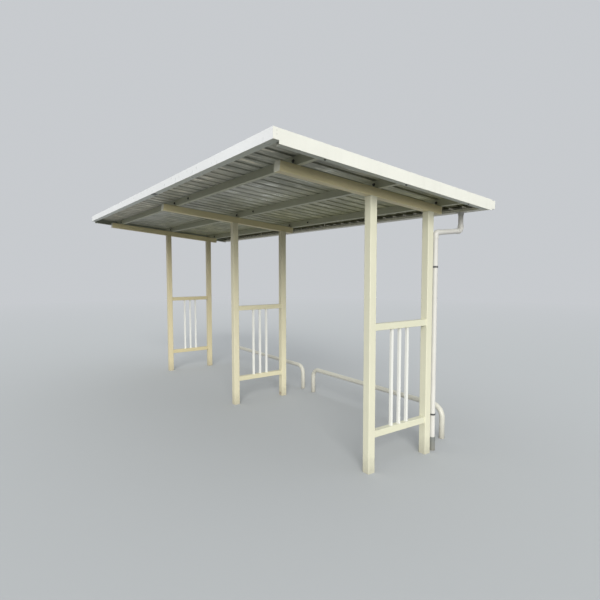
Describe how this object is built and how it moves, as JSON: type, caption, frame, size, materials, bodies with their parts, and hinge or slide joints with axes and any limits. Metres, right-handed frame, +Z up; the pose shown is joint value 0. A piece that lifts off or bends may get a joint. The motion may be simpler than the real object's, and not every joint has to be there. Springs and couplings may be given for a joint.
{
  "type": "bike shelter",
  "caption": "Open bike shelter: post frames with guard bars carry a sloping ribbed-sheet roof with fascias, gutter and downpipe, and low hoops stop the wheels.",
  "frame": {"origin": "centre of the middle front post's foot, on the floor", "axes": "+Z up, +X to the right along the length, -Y towards the high front eave, +Y towards the rear gutter"},
  "size_m": [4.86, 2.131, 2.2854],
  "materials": {
    "frame_paint": "satin",
    "cap_paint": "satin",
    "purlin_paint": "satin",
    "roof_sheet": "semi-gloss",
    "fascia_paint": "satin",
    "gutter_sheet": "satin",
    "rail_paint": "satin",
    "bar_paint": "satin",
    "rain_pipe": "matte",
    "drain_grey": "matte",
    "clip_metal": "matte",
    "hoop_paint": "satin"
  },
  "bodies": {
    "root": {"right_front_post": "frame_paint", "right_rear_post": "frame_paint", "middle_front_post": "frame_paint", "middle_rear_post": "frame_paint", "left_front_post": "frame_paint", "left_rear_post": "frame_paint", "right_cross_beam": "frame_paint", "middle_cross_beam": "frame_paint", "left_cross_beam": "frame_paint", "beam_end_caps": "cap_paint", "front_purlin": "purlin_paint", "middle_purlin": "purlin_paint", "rear_purlin": "purlin_paint", "purlin_cleats": "purlin_paint", "purlin_joint_plates": "purlin_paint", "roof_sheet": "roof_sheet", "front_fascia": "fascia_paint", "right_gable_fascia": "fascia_paint", "left_gable_fascia": "fascia_paint", "gutter_floor": "gutter_sheet", "gutter_front_wall": "gutter_sheet", "gutter_rear_wall": "gutter_sheet", "gutter_end_caps": "fascia_paint", "gutter_hangers": "gutter_sheet", "right_top_rail": "rail_paint", "middle_top_rail": "rail_paint", "left_top_rail": "rail_paint", "right_bottom_rail": "rail_paint", "middle_bottom_rail": "rail_paint", "left_bottom_rail": "rail_paint", "right_guard_bars": "bar_paint", "middle_guard_bars": "bar_paint", "left_guard_bars": "bar_paint", "gutter_outlet": "rain_pipe", "upper_elbow": "rain_pipe", "offset_pipe": "rain_pipe", "lower_elbow": "rain_pipe", "downpipe": "rain_pipe", "drain_socket": "drain_grey", "pipe_clips": "clip_metal", "right_wheel_hoop": "hoop_paint", "left_wheel_hoop": "hoop_paint"}
  },
  "joints": []
}
